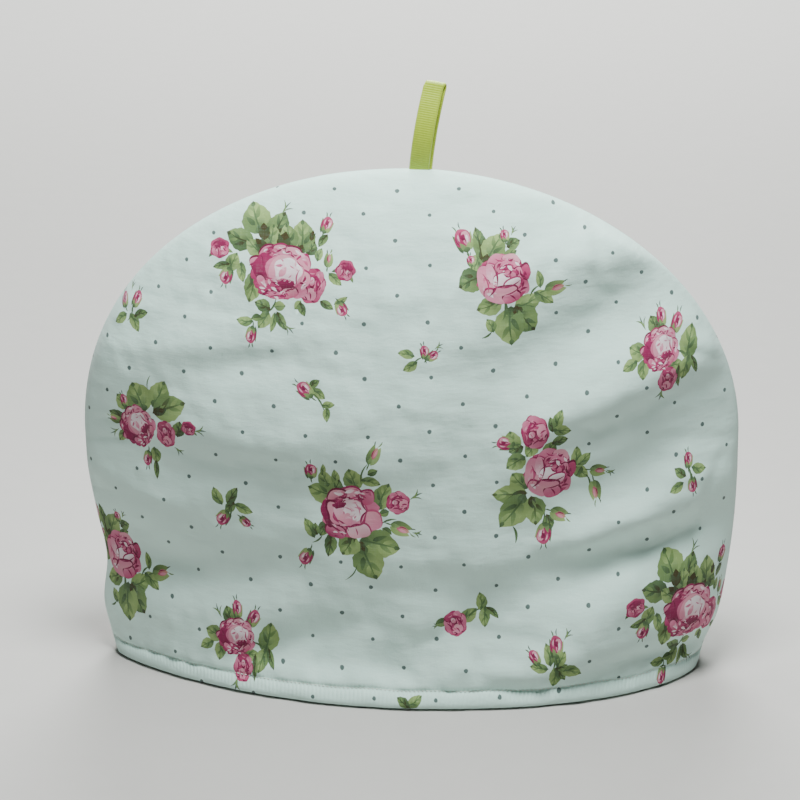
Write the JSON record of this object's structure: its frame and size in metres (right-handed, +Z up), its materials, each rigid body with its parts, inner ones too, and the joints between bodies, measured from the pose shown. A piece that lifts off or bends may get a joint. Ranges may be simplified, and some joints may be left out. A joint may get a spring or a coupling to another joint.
{
  "type": "tea cosy",
  "caption": "Padded arched tea cosy of rose-sprigged mint cotton, sewn along the arch, open at its topstitched hem, with a folded green ribbon loop at the top.",
  "frame": {"origin": "on the surface it stands on, under the middle of the cosy's box", "axes": "+Z up, the front panel faces -Y, +X is to the viewer's right"},
  "size_m": [0.3321, 0.1454, 0.3016],
  "materials": {
    "printed_cotton": "pale mint cotton printed with pink rose sprigs and grey-green dots, over soft wadding",
    "green_ribbon": "lime-green ribbed satin ribbon"
  },
  "bodies": {
    "root": {"panel_front": "printed_cotton", "panel_back": "printed_cotton", "hanging_loop": "green_ribbon"}
  },
  "joints": []
}
